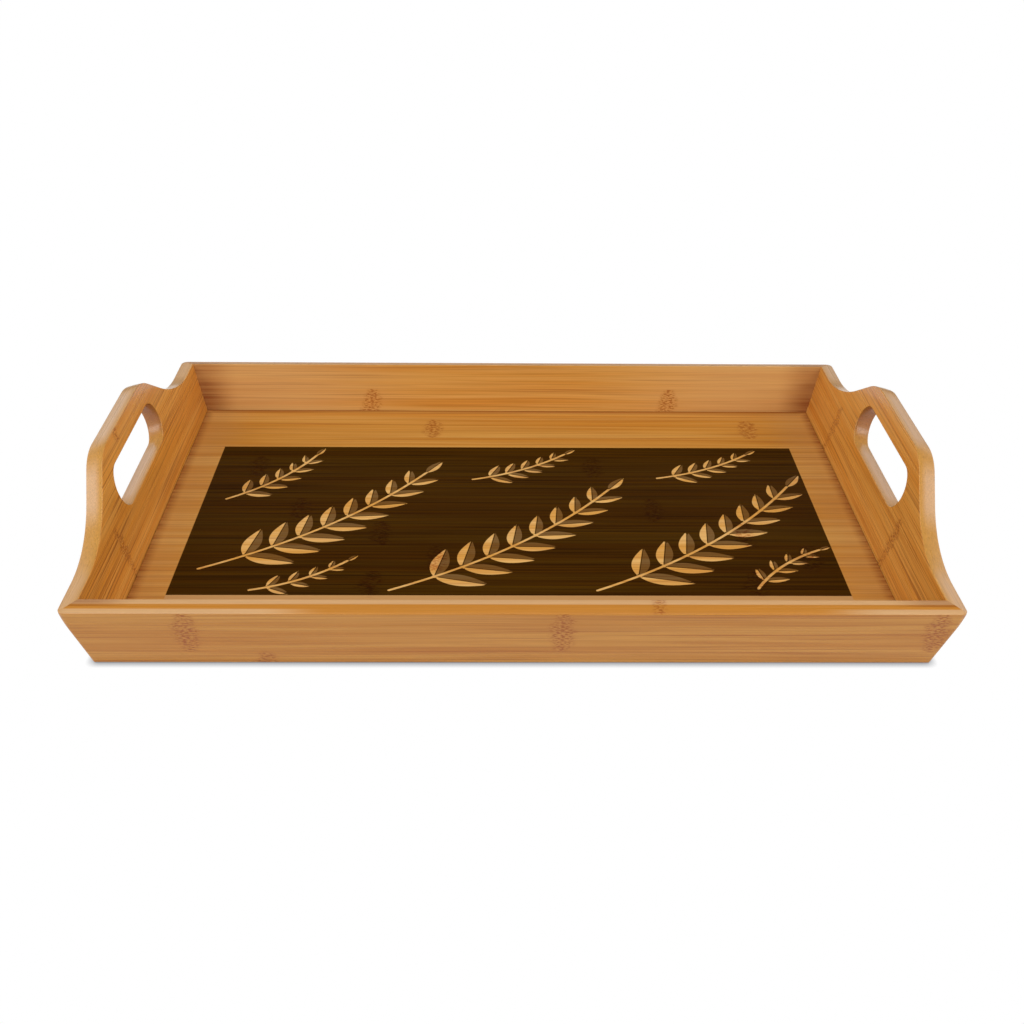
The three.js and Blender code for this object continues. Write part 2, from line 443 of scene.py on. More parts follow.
    def run(self, start: float, shares: np.ndarray, middle: Pair, sign: int = 1) -> Section:
        """Sections of the plain board from a starting place out to its mitre.

        Each section is a closed loop: up the outer face, over the rounded top edge, down the inner
        face and across the foot. A column lies at a share of the way from the start to the mitre,
        which leans, so the columns fan out.

        Args:
            start: where the run starts along the wall.
            shares: shares of the way to the mitre.
            middle: rise of the line that halves the faces, at the start and at the mitre.
            sign: 1 for a run along the wall, -1 for one the other way.

        Returns:
            Along, rise and depth, columns by points, and how far each lies on the sawn edge.
        """
        share = shares[:, None]

        def placed(rise: np.ndarray, depth: float | np.ndarray) -> np.ndarray:
            """Along at the given rise and depth."""
            return sign * (start + share * (self.mitre(rise, depth) - start))

        board = self.shape.board
        insets, depths, ramp = self.round_edge()
        top = self.top_edge(placed(np.full_like(depths, self.shape.rail_height), depths), insets)
        foot_rise = np.broadcast_to(self.foot(self.foot_depths), (len(shares), len(self.foot_depths)))
        foot = placed(foot_rise, self.foot_depths), foot_rise
        mid_rise = middle[0] + np.abs(share) * (middle[1] - middle[0])
        outer_mid = placed(mid_rise, 0.0), mid_rise
        inner_mid = placed(mid_rise, board), mid_rise
        return joined(
            (face_points(picked(foot, -1), outer_mid, from_foot=True), 0.0, 0.0),
            (face_points(outer_mid, picked(top, 0), with_first=True), 0.0, 0.0),
            (top, depths, ramp),
            (face_points(picked(top, -1), inner_mid), board, 0.0),
            (face_points(inner_mid, picked(foot, 0), with_first=True), board, 0.0),
            (foot, self.foot_depths, 0.0),
        )


class Rail(Wall):
    """A straight low wall between the end boards."""

    def build(self) -> bpy.types.Object:
        """Makes the rail as one run of sections from mitre to mitre.

        Returns:
            The rail's object.
        """
        half = end_shares(self.half_base, RAIL_COLUMNS)
        shares = np.concatenate((-half[:0:-1], half))
        level = self.shape.rail_height / 2
        along, rise, depth, cut = self.run(0.0, shares, (level, level))
        grid = Grid()
        grid.add_tube(self.world(along, rise, depth), cut, caps=(0, -1))
        return grid.build(self.name + "_wood", self.ease)


class EndBoard(Wall):
    """An end wall that sweeps up into a handle, with a long hand hole."""

    mitre_middle = 0.6

    @property
    def hole_radius(self) -> float:
        """Radius of the hand hole's round ends."""
        return self.shape.hole_height / 2

    @property
    def hole_centre(self) -> float:
        """Rise of the hand hole's middle line."""
        return self.shape.handle_height - self.shape.grip_height - self.hole_radius

    @property
    def hole_straight(self) -> float:
        """Half the straight length of the hand hole."""
        return self.shape.hole_length / 2 - self.hole_radius

    def top(self, along: np.ndarray) -> Line:
        """Rise of the handle's outline and its slope.

        Going out from the middle: a level crest, a convex arc, a straight slope, a concave arc and
        the level of the rails, each tangent to the next.

        Args:
            along: distances along the wall.

        Returns:
            Rise and slope at each.
        """
        shape = self.shape
        radii = shape.shoulder_radius + shape.sweep_radius
        drop = shape.handle_height - shape.rail_height
        angle = math.acos((radii - drop) / math.hypot(radii, shape.slope_length))
        angle -= math.atan2(shape.slope_length, radii)
        far = np.abs(along)
        crest = shape.crest_length / 2
        shoulder = crest + shape.shoulder_radius * math.sin(angle)
        slope = shoulder + shape.slope_length * math.cos(angle)
        sweep = slope + shape.sweep_radius * math.sin(angle)
        shoulder_rise = shape.handle_height - shape.shoulder_radius * (1 - math.cos(angle))
        over = np.clip(far - crest, 0, shape.shoulder_radius * math.sin(angle))
        under = np.clip(sweep - far, 0, shape.sweep_radius * math.sin(angle))
        convex = np.sqrt(shape.shoulder_radius**2 - over**2)
        concave = np.sqrt(shape.sweep_radius**2 - under**2)
        zones = [far <= crest, far <= shoulder, far <= slope, far <= sweep]
        rises = [
            np.full_like(far, shape.handle_height),
            shape.handle_height - shape.shoulder_radius + convex,
            shoulder_rise - (far - shoulder) * math.tan(angle),
            shape.rail_height + shape.sweep_radius - concave,
        ]
        slopes = [np.zeros_like(far), -over / convex, np.full_like(far, -math.tan(angle)), -under / concave]
        rise = np.select(zones, rises, shape.rail_height)
        return rise, np.select(zones, slopes, 0.0) * np.sign(along)

    def hole_edge(self, turn: np.ndarray, straight: np.ndarray, upper: bool) -> Section:
        """Points of one half of the hand hole's rounded edge.

        The outline is a straight with a quarter circle at each end. The rounded edge stands out of it
        into the wood by its inset, square to the outline. The hole's roof, facing down, is darkened with
        painted shade, and its lower round ends with the stain of the end grain.

        Args:
            turn: angle round the end circle of each column, 0 on the straight.
            straight: where each column's circle centre lies along the wall.
            upper: whether the edge is over the hole or under it.

        Returns:
            Along, rise, depth and cut, columns by edge points, from the outer face to the inner.
        """
        insets, depths, ramp = self.round_edge()
        reach = self.hole_radius + insets[None, :]
        along = straight[:, None] + reach * np.sin(turn)[:, None]
        rise = self.hole_centre + (1 if upper else -1) * reach * np.cos(turn)[:, None]
        # The roof, facing down, is darkened all over as painted shade; the lower round ends by the stain of
        # the end grain.
        stain_and_shade = np.ones_like(turn) if upper else np.sin(turn) ** 2
        return along, rise, np.broadcast_to(depths, along.shape), ramp * (1 + stain_and_shade[:, None])

    def straps(self) -> tuple[Section, Section]:
        """Sections of the wood under the hand hole and of the grip over it.

        Columns stand over the hole's straight and over its end circles, evenly in angle there, out to
        the tips of the hole's rounded edge. Each section is a closed loop round one strap.

        Returns:
            Along, rise, depth and cut of the lower strap, and of the upper one.
        """
        board = self.shape.board
        arc = np.linspace(0, math.pi / 2, HOLE_ARC_STEPS)[1:]
        level = np.linspace(-1, 1, HOLE_COLUMNS) * self.hole_straight
        turn = np.concatenate((-arc[::-1], np.zeros_like(level), arc))
        ends = np.full_like(arc, self.hole_straight)
        straight = np.concatenate((-ends, level, ends))
        column = (straight + (self.hole_radius + self.shape.edge_inset) * np.sin(turn))[:, None]
        under = self.hole_edge(turn, straight, upper=False)
        over = self.hole_edge(turn, straight, upper=True)
        foot = np.broadcast_arrays(column, self.foot(self.foot_depths))
        lower = joined(
            (face_points(picked(foot, -1), picked(under, 0), from_foot=True), 0.0, 0.0),
            (under[:2], under[2], under[3]),
            (face_points(picked(under, -1), picked(foot, 0)), board, 0.0),
            (foot, self.foot_depths, 0.0),
        )
        insets, depths, ramp = self.round_edge()
        crest = self.top_edge(np.broadcast_to(column, (len(column), len(depths))), insets)
        wall = tuple(part[:, ::-1] for part in over)
        upper = joined(
            (face_points(picked(over, 0), picked(crest, 0)), 0.0, 0.0),
            (crest, depths, ramp),
            (face_points(picked(crest, -1), picked(over, -1)), board, 0.0),
            (wall[:2], wall[2], wall[3]),
        )
        return lower, upper

    def build(self) -> bpy.types.Object:
        """Makes the board: two straps round the hand hole and a run out to each mitre.

        Returns:
            The board's object.
        """
        start = self.hole_straight + self.hole_radius + self.shape.edge_inset
        shares = end_shares(self.half_base - start, RUN_COLUMNS)
        middle = (self.hole_centre, self.mitre_middle * self.shape.rail_height)
        grid = Grid()
        for *strap, cut in self.straps():
            grid.add_tube(self.world(*strap), cut)
        for sign in (1, -1):
            *section, cut = self.run(start, shares, middle, sign)
            grid.add_tube(self.world(*section), cut, caps=(-1,))
        return grid.build(self.name + "_wood", self.ease)


def srgb(red: int, green: int, blue: int) -> Colour:
    """Linear colour of a screen colour: the usual power curve with its straight foot."""
    parts = (red / 255, green / 255, blue / 255)
    return tuple(c / 12.92 if c <= 0.04045 else ((c + 0.055) / 1.055) ** 2.4 for c in parts)


class Wiring:
    """Adds shader nodes to one tree and joins them."""

    def __init__(self, tree: bpy.types.NodeTree) -> None:
        """Keeps the tree."""
        self.tree = tree

    def add(self, kind: str, **settings: object) -> bpy.types.Node:
        """Adds a node.

        Args:
            kind: the node's type.
            settings: its properties.

        Returns:
            The node.
        """
        node = self.tree.nodes.new(kind)
        for key, value in settings.items():
            setattr(node, key, value)
        return node

    def put(self, socket: Socket, feed: Feed) -> None:
        """Joins an output to a socket, or sets the socket's own value.

        Args:
            socket: the input.
            feed: an output, a number, or a colour or vector.
        """
        if isinstance(feed, Socket):
            self.tree.links.new(feed, socket)
        elif isinstance(feed, tuple) and len(socket.default_value) == 4:
            socket.default_value = (*feed, 1.0)
        else:
            socket.default_value = feed

    def attribute(self, name: str) -> Socket:
        """A number stored on the piece's points."""
        return self.add("ShaderNodeAttribute", attribute_name=name).outputs["Fac"]

    def math(self, operation: str, *feeds: Feed) -> Socket:
        """A number worked out from others.

        Args:
            operation: the Math node's operation.
            feeds: its inputs in order.

        Returns:
            The result.
        """
        node = self.add("ShaderNodeMath", operation=operation)
        for socket, feed in zip(node.inputs, feeds):
            self.put(socket, feed)
        return node.outputs[0]

    def times(self, first: Feed, second: Feed) -> Socket:
        """The product of two numbers."""
        return self.math("MULTIPLY", first, second)

    def apart(self, value: Feed, place: Feed = 0.0) -> Socket:
        """How far a number lies from a place."""
        return self.math("ABSOLUTE", self.math("SUBTRACT", value, place))

    def scaled(self, value: Feed, low: float, high: float) -> Socket:
        """A number from 0 to 1 spread from low to high."""
        return self.math("MULTIPLY_ADD", value, high - low, low)

    def step(self, value: Feed, low: float, high: float) -> Socket:
        """A smooth step.

        Args:
            value: the number that rises.
            low: where the step is 0.
            high: where it is 1, which may be less than the low value.

        Returns:
            A number from 0 to 1.
        """
        node = self.add("ShaderNodeMapRange", interpolation_type="SMOOTHSTEP")
        for name, feed in (("Value", value), ("From Min", low), ("From Max", high)):
            self.put(node.inputs[name], feed)
        return node.outputs[0]

    def vector(self, operation: str, first: Feed, second: Feed) -> Socket:
        """A vector worked out from two, or from one and a scale.

        Args:
            operation: the Vector Math node's operation.
            first: its first input.
            second: its second input, or its scale.

        Returns:
            The result.
        """
        node = self.add("ShaderNodeVectorMath", operation=operation)
        self.put(node.inputs[0], first)
        self.put(node.inputs["Scale" if operation == "SCALE" else 1], second)
        return node.outputs[0]

    def split(self, vector: Socket) -> tuple[Socket, ...]:
        """Takes a vector apart.

        Args:
            vector: the vector.

        Returns:
            Its three parts.
        """
        node = self.add("ShaderNodeSeparateXYZ")
        self.put(node.inputs[0], vector)
        return tuple(node.outputs)

    def join(self, *parts: Feed) -> Socket:
        """Makes a vector.

        Args:
            parts: its three parts.

        Returns:
            The vector.
        """
        node = self.add("ShaderNodeCombineXYZ")
        for socket, feed in zip(node.inputs, parts):
            self.put(socket, feed)
        return node.outputs[0]

    def noise(self, point: Feed, size: Triple, detail: float, roughness: float = 0.5) -> Socket:
        """Soft noise.

        Args:
            point: where to read it.
            size: rough size of its features in the three directions.
            detail: how many finer layers it has.
            roughness: how strong those are.

        Returns:
            A number near 0.5.
        """
        node = self.add("ShaderNodeTexNoise")
        self.put(node.inputs["Vector"], self.vector("DIVIDE", point, size))
        self.put(node.inputs["Scale"], 1.0)
        self.put(node.inputs["Detail"], detail)
        self.put(node.inputs["Roughness"], roughness)
        return node.outputs[0]

    def ramp(self, value: Feed, stops: list[tuple[float, Colour]], kind: str = "LINEAR") -> Socket:
        """A colour read off stops along a line.

        Args:
            value: where to read it, from 0 to 1.
            stops: places from 0 to 1 in rising order, each with its colour.
            kind: how the colour goes from one stop to the next.

        Returns:
            The colour.
        """
        node = self.add("ShaderNodeValToRGB")
        node.color_ramp.interpolation = kind
        marks = node.color_ramp.elements
        for index, (place, colour) in enumerate(stops):
            mark = marks[index] if index < 2 else marks.new(place)
            mark.position = place
            mark.color = (*colour, 1.0)
        self.put(node.inputs[0], value)
        return node.outputs[0]

    def mix(self, share: Feed, first: Feed, second: Feed) -> Socket:
        """Two colours mixed.

        Args:
            share: how much of the second.
            first: the first colour.
            second: the second colour.

        Returns:
            The mixed colour.
        """
        node = self.add("ShaderNodeMix", data_type="RGBA")
        self.put(node.inputs["Factor"], share)
        self.put(node.inputs[6], first)
        self.put(node.inputs[7], second)
        return node.outputs[2]


@dataclass(frozen=True)
class Strips:
    """How a board is laid up from bamboo strips.

    A strip's knuckle, if it has one, lies at its own place and then at even spacing. The sparse strips,
    and those of the layer that isn't the shown one, have theirs half as often.
    """

    width: float
    edge: float
    knuckles: tuple[float | None, ...]
    spacing: float
    seed: float
    shown_layer: int = 1
    layer_shift: float = 61.0
    knuckle_reach: Pair = (8.0, 3.0)
    sparse: tuple[int, ...] = ()
    layer: float = 4.5


@dataclass(frozen=True)
class GrainMarks:
    """Marks that all the bamboo has: sizes along, across and through a board, steps and strengths."""

    seam: Pair = (0.05, 0.4)
    seam_share: float = 0.3
    knuckle_span: float = 1000.0
    sway: Triple = (1.0, 5.0, 1.0)
    sway_reach: float = 4.0
    rounding: float = 1.7
    speck: Triple = (2.0, 0.75, 0.75)
    dash: Pair = (0.49, 0.6)
    dash_share: float = 0.74
    fleck: Pair = (0.45, 0.35)
    fleck_share: float = 0.6
    near_share: float = 0.25
    wobble: Triple = (4.0, 3.0, 3.0)
    wobble_reach: float = 1.6
    wave: Triple = (140.0, 30.0, 30.0)
    wave_reach: float = 1.0
    strip_shift: float = 400.0
    strip_tone: float = 0.08
    band: Triple = (260.0, 6.0, 5.0)
    band_step: Pair = (0.32, 0.68)
    streak: Triple = (150.0, 1.7, 1.7)
    streak_roughness: float = 0.55
    dark_streak: Pair = (0.5, 0.74)
    pale_streak: Pair = (0.46, 0.26)
    line: Triple = (130.0, 0.6, 0.6)
    line_step: Pair = (0.54, 0.66)
    fibre: Triple = (40.0, 0.45, 0.45)
    # Depths over which the painted highlight at the rail's ends fades in from the outer face.
    highlight_band: Pair = (-3.4, -2.6)
    sawn_share: float = 0.82
    stain_and_shade_share: float = 0.75
    # Steps of the streaks in which the painted shade lies along the corners.
    shade_streak: Pair = (0.3, 0.7)
    fibre_relief: float = 0.6
    dash_relief: float = 0.5
    relief: float = 0.25
    relief_depth: float = 0.12 * MM


@dataclass(frozen=True)
class BambooFinish:
    """Colours and lacquer of a bamboo board.

    The sawn edges are pale through the board over pale_band, the pale ply, and by edge_highlights along it,
    where that pale is partly a painted highlight. Towards the ends, by end_highlights (middle, start and
    full distance), the outer part of the edge is pale as a painted highlight. The faces turn paler by
    paler_ends (start, full, share), which on the back rail is a painted reflection.
    """

    name: str
    pale: Colour = srgb(204, 144, 68)
    warm: Colour = srgb(192, 121, 44)
    dark: Colour = srgb(156, 86, 28)
    knuckle: Colour = srgb(158, 80, 28)
    sawn: Colour = srgb(198, 130, 48)
    sawn_pale: Colour = srgb(213, 167, 115)
    # Colour of stained end grain, and of the painted shade in the hand hole's roof and in the corners.
    stain_and_shade: Colour = srgb(128, 56, 18)
    pale_band: Pair = (-5.6, -6.3)
    edge_highlights: tuple[Pair, ...] = ()
    end_highlights: Triple | None = None
    paler_ends: Triple | None = None
    streaks: float = 0.5
    lines: float = 0.4
    fibres: float = 0.14
    roughness: Pair = (0.22, 0.36)
    gloss: float = 0.45
    gloss_tint: Colour = WHITE
    coat: float = 0.25
    coat_roughness: float = 0.1

    def material(self, strips: Strips, turn: Matrix, origin: Vector) -> "BambooShader":
        """Starts the material of one board, to be finished plain, stained or printed."""
        return BambooShader(self, strips, turn, origin)


class BambooShader:
    """Wood of one board: strips, streaks along the grain, fibres, knuckles and a satin lacquer."""

    marks = GrainMarks()

    def __init__(self, finish: BambooFinish, strips: Strips, turn: Matrix, origin: Vector) -> None:
        """Wires the wood's colour.

        Args:
            finish: the colours.
            strips: the board's lay-up.
            turn: rows that turn the tray's directions into the board's.
            origin: a point at the start of the board's coordinates.
        """
        self.finish = finish
        self.strips = strips
        self.made = bpy.data.materials.new(finish.name)
        self.made.use_nodes = True
        self.wiring = Wiring(self.made.node_tree)
        self.shader = self.made.node_tree.nodes["Principled BSDF"]
        self.point = self.board_point(turn, origin)
        self.along, self.across, self.through = self.wiring.split(self.point)
        self.cut = self.wiring.attribute("cut")
        self.lay_strips()
        self.mark_knuckles()
        self.colour = self.grain()

    def board_point(self, turn: Matrix, origin: Vector) -> Socket:
        """Object coordinates turned into the board's own.

        Args:
            turn: rows that turn the tray's directions into the board's.
            origin: a point at the start of the board's coordinates.

        Returns:
            The place along, across and out of the board, in millimetres.
        """
        wire = self.wiring
        turned = wire.add("ShaderNodeMapping", vector_type="POINT")
        wire.put(turned.inputs["Vector"], wire.add("ShaderNodeTexCoord").outputs["Object"])
        turned.inputs["Rotation"].default_value = turn.to_euler("XYZ")
        turned.inputs["Location"].default_value = -(turn @ origin)
        return wire.vector("SCALE", turned.outputs[0], 1 / MM)

    def lay_strips(self) -> None:
        """Numbers the strips across the board and through it, and gives each its own random tone."""
        wire, strips = self.wiring, self.strips
        rows = wire.math("DIVIDE", wire.math("SUBTRACT", self.across, strips.edge), strips.width)
        self.row = wire.math("FLOOR", rows)
        self.layer = wire.math("LESS_THAN", self.through, -strips.layer)
        chance = wire.add("ShaderNodeTexWhiteNoise", noise_dimensions="3D")
        number = wire.join(wire.math("ADD", self.row, strips.seed), self.layer, 0.5)
        wire.put(chance.inputs["Vector"], number)
        self.chance = wire.split(chance.outputs["Color"])
        self.off_middle = wire.apart(wire.math("FRACT", rows), 0.5)
        margin = wire.times(wire.math("SUBTRACT", 0.5, self.off_middle), strips.width)
        self.seam = wire.math("SUBTRACT", 1.0, wire.step(margin, *self.marks.seam))

    def mark_knuckles(self) -> None:
        """Places the culm's knuckles, each a round patch of short wavy dashes and pale flecks.

        A ramp with one stop for each strip holds its knuckle's place, whether it has one and whether its
        knuckles are sparse. The layer behind, which the sawn edges show too, has its own shifted along.
        """
        wire, strips, marks = self.wiring, self.strips, self.marks
        count = len(strips.knuckles)
        stops = []
        for index, place in enumerate(strips.knuckles):
            share = 0.5 + (place or 0.0) / marks.knuckle_span
            stops.append((index / count, (share, float(place is not None), float(index in strips.sparse))))
        strip = wire.math("DIVIDE", wire.math("ADD", self.row, 0.5), float(count))
        share, has_one, sparse = wire.split(wire.ramp(strip, stops, "CONSTANT"))
        offset = wire.times(wire.math("SUBTRACT", share, 0.5), marks.knuckle_span)
        behind = wire.apart(self.layer, float(strips.shown_layer))
        behind = wire.math("MAXIMUM", behind, wire.math("GREATER_THAN", self.cut, 0.5))
        offset = wire.math("MULTIPLY_ADD", behind, strips.layer_shift, offset)
        sway = wire.noise(wire.join(self.chance[0], self.across, self.layer), marks.sway, 1.0)
        offset = wire.math("ADD", offset, wire.scaled(sway, -marks.sway_reach, marks.sway_reach))
        seldom = wire.math("MAXIMUM", behind, sparse)
        half = wire.math("MULTIPLY_ADD", seldom, strips.spacing / 2, strips.spacing / 2)
        away = wire.math("SUBTRACT", self.along, offset)
        away = wire.math("ABSOLUTE", wire.math("WRAP", away, half, wire.times(half, -1.0)))
        rounding = wire.times(self.off_middle, marks.rounding * strips.knuckle_reach[0])
        away = wire.math("MULTIPLY_ADD", rounding, self.off_middle, away)
        self.near = wire.times(has_one, wire.step(away, *strips.knuckle_reach))
        speck = wire.noise(self.point, marks.speck, 1.5)
        self.dash = wire.times(wire.step(speck, *marks.dash), self.near)
        self.fleck = wire.times(wire.step(speck, *marks.fleck), self.near)

    def grain(self) -> Socket:
        """Colours the wood: broad bands, streaks, fine lines, seams, sawn edges, fibres and knuckles.

        Each noise is drawn out along the grain, and each strip reads it at a place of its own. Beside a
        knuckle the grain wobbles.

        Returns:
            The colour of the bare wood.
        """
        wire, finish, marks = self.wiring, self.finish, self.marks
        wobble = wire.noise(self.point, marks.wobble, 1.0)
        wobble = wire.scaled(wobble, -marks.wobble_reach, marks.wobble_reach)
        wave = wire.scaled(wire.noise(self.point, marks.wave, 1.0), -marks.wave_reach, marks.wave_reach)
        across = wire.math("ADD", wire.math("MULTIPLY_ADD", wobble, self.near, self.across), wave)
        along = wire.math("MULTIPLY_ADD", self.chance[1], marks.strip_shift, self.along)
        own = wire.join(along, across, self.through)
        band = wire.noise(own, marks.band, 2.0)
        self.streak = wire.noise(own, marks.streak, 2.5, marks.streak_roughness)
        line = wire.step(wire.noise(own, marks.line, 1.0), *marks.line_step)
        self.fibre = wire.noise(own, marks.fibre, 2.0)
        tone = wire.math("ADD", band, wire.scaled(self.chance[2], -marks.strip_tone, marks.strip_tone))
        colour = wire.mix(wire.step(tone, *marks.band_step), finish.warm, finish.pale)
        dark_streak = wire.step(self.streak, *marks.dark_streak)
        pale_streak = wire.step(self.streak, *marks.pale_streak)
        colour = wire.mix(wire.times(dark_streak, finish.streaks), colour, finish.dark)
        colour = wire.mix(wire.times(pale_streak, finish.streaks), colour, finish.pale)
        colour = wire.mix(wire.times(line, finish.lines), colour, finish.dark)
        colour = wire.mix(wire.times(self.seam, marks.seam_share), colour, finish.dark)
        # Paler towards the ends: on the back rail this is a painted reflection of the room's light.
        if finish.paler_ends is not None:
            start, full, share = finish.paler_ends
            ends = wire.step(wire.apart(self.along), start, full)
            colour = wire.mix(wire.times(ends, share), colour, finish.sawn_pale)
        sawn = wire.times(wire.math("MINIMUM", self.cut, 1.0), marks.sawn_share)
        colour = wire.mix(sawn, colour, self.sawn_edge())
        fibres = wire.scaled(self.fibre, 1 - finish.fibres, 1 + finish.fibres)
        colour = wire.vector("SCALE", colour, fibres)
        colour = wire.mix(wire.times(self.near, marks.near_share), colour, finish.dark)
        colour = wire.mix(wire.times(self.fleck, marks.fleck_share), colour, finish.pale)
        return wire.mix(wire.times(self.dash, marks.dash_share), colour, finish.knuckle)

    def sawn_edge(self) -> Socket:
        """Colours the sawn edges: pale in one layer of the board, partly as painted highlight along the end
        boards' outline and towards the front rail's ends, and darkened in the hand hole by stained end
        grain and by painted shade under its roof.

        Returns:
            The colour of the sawn edges.
        """
        wire, finish, marks = self.wiring, self.finish, self.marks
        pale = wire.step(self.through, *finish.pale_band)
        # Along the outline the pale is partly a painted highlight, strong where the lamps would glint on
        # the edge.
        if finish.edge_highlights:
            reach = finish.edge_highlights[-1][0]
            stops = [(place / reach, (level, level, level)) for place, level in finish.edge_highlights]
            highlight_tones = wire.ramp(wire.math("DIVIDE", wire.apart(self.along), reach), stops)
            pale = wire.times(pale, highlight_tones)
        if finish.end_highlights is not None:
            # Painted highlight: the outer part of the edge turns pale towards the rail's ends.
            middle, start, full = finish.end_highlights
            outer = wire.step(wire.apart(self.along, middle), start, full)
            outer = wire.times(outer, wire.step(self.through, *marks.highlight_band))
            pale = wire.math("MAXIMUM", pale, outer)
        sawn = wire.mix(pale, finish.sawn, finish.sawn_pale)
        # How much of the edge is darkened: stained end grain, and painted shade under the hand hole's roof.
        stained_and_shaded = wire.math("SUBTRACT", wire.math("MAXIMUM", self.cut, 1.0), 1.0)
        return wire.mix(wire.times(stained_and_shaded, marks.stain_and_shade_share), sawn, finish.stain_and_shade)

    def paint_end_shade(self, half: float, reach: float) -> None:
        """Paints shade on the inner face towards the board's ends, most low down, where the end boards
        shade the corners.

        Args:
            half: half the board's length, in millimetres.
            reach: how far from the ends it starts, in millimetres.
        """
        wire = self.wiring
        height, foot, high_share, low_share, least = 38.0, 8.0, 0.5, 0.85, 0.6
        end = wire.step(wire.apart(self.along), half - reach, half)
        low = wire.scaled(wire.step(self.across, height, foot), high_share, low_share)
        streaks = wire.scaled(wire.step(self.streak, *self.marks.shade_streak), least, 1.0)
        share = wire.times(wire.times(wire.times(end, low), self.layer), streaks)
        self.colour = wire.mix(share, self.colour, self.finish.stain_and_shade)

    def paint_edge_shade(self, halves: Pair, reach: float) -> None:
        """Paints shade in streaks along a sheet's edges, where the walls shade the floor, with a thin dark
        joint line along its long sides.

        Args:
            halves: half its length and half its width, in millimetres.
            reach: how far in from the edges it starts, in millimetres.
        """
        wire = self.wiring
        least, most, line_start, line_full = 0.35, 0.75, 2.2, 1.3
        ends = wire.step(wire.apart(self.along), halves[0] - reach, halves[0])
        sides = wire.step(wire.apart(self.across), halves[1] - reach, halves[1])
        streaks = wire.scaled(wire.step(self.streak, *self.marks.shade_streak), least, most)
        share = wire.times(wire.math("MAXIMUM", ends, sides), streaks)
        line = wire.step(wire.apart(self.across), halves[1] - line_start, halves[1] - line_full)
        share = wire.math("MAXIMUM", share, wire.times(line, most))
        self.colour = wire.mix(share, self.colour, self.finish.stain_and_shade)

    def done(self) -> bpy.types.Material:
        """Joins the wood's colour, roughness and relief to the lacquered shader.

        Returns:
            The material.
        """
        wire, finish, marks, inputs = self.wiring, self.finish, self.marks, self.shader.inputs
        wire.put(inputs["Base Color"], self.colour)
        wire.put(inputs["Roughness"], wire.scaled(self.streak, *finish.roughness))
        wire.put(inputs["Specular IOR Level"], finish.gloss)
        wire.put(inputs["Specular Tint"], finish.gloss_tint)
        wire.put(inputs["Coat Weight"], finish.coat)
        wire.put(inputs["Coat Roughness"], finish.coat_roughness)
        height = wire.math("MULTIPLY_ADD", self.fibre, marks.fibre_relief, self.streak)
        height = wire.math("SUBTRACT", height, wire.times(self.dash, marks.dash_relief))
        bump = wire.add("ShaderNodeBump")
        wire.put(bump.inputs["Strength"], marks.relief)
        wire.put(bump.inputs["Distance"], marks.relief_depth)
        wire.put(bump.inputs["Height"], height)
        wire.put(inputs["Normal"], bump.outputs[0])
        return self.made


@dataclass(frozen=True)
class PrintInk:
    """Inks of the printed field, as what they leave of the wood's colour, and its edges in millimetres.

    A bare margin in front of the field is paler than the rest of the floor.
    """

    field: Colour = (0.09, 0.075, 0.02)
    shade: Colour = (0.32, 0.35, 0.5)
    light: Colour = (1.25, 1.5, 2.2)
    grain: Pair = (1.85, 0.15)
    left: float = -176.9
    left_skew: float = 0.0091
    right: float = 175.2
    front: float = -88.6
    back: float = 75.0
    blur: float = 0.2
    leaf_blur: float = 0.15
    margin: Colour = srgb(200, 153, 101)
    margin_reach: Pair = (16.0, 6.0)
    margin_lap: float = 2.0
    margin_share: float = 0.75

    def over(self, wood: BambooShader) -> None:
        """Prints the field over the wood.

        Inside the field's edges the wood's colour is multiplied by the ink, so the grain shows, and
        the sprigs are drawn where the sheet's distance attributes rise over zero.

        Args:
            wood: the shader of the printed sheet.
        """
        wire, along, across, soft = wood.wiring, wood.along, wood.across, self.blur
        slanted = wire.math("MULTIPLY_ADD", across, -self.left_skew, along)
        columns = wire.times(
            wire.step(slanted, self.left - soft, self.left + soft),
            wire.step(along, self.right + soft, self.right - soft),
        )
        rows = wire.times(
            wire.step(across, self.front - soft, self.front + soft),
            wire.step(across, self.back + soft, self.back - soft),
        )
        bare = wire.times(
            wire.step(across, *(self.front - reach for reach in self.margin_reach)),
            wire.step(across, self.front + self.margin_lap, self.front),
        )
        ink = wire.vector("MULTIPLY", wood.colour, self.field)
        ink = wire.vector("SCALE", ink, wire.scaled(wood.streak, *self.grain))
        for name, colour in (("leaf_shade", self.shade), ("leaf_light", self.light)):
            drawn = wire.step(wire.attribute(name), -self.leaf_blur, self.leaf_blur)
            ink = wire.mix(drawn, ink, wire.vector("MULTIPLY", wood.colour, colour))
        bare = wire.times(wire.times(columns, bare), self.margin_share)
        wood.colour = wire.mix(bare, wood.colour, self.margin)
        wood.colour = wire.mix(wire.times(columns, rows), wood.colour, ink)


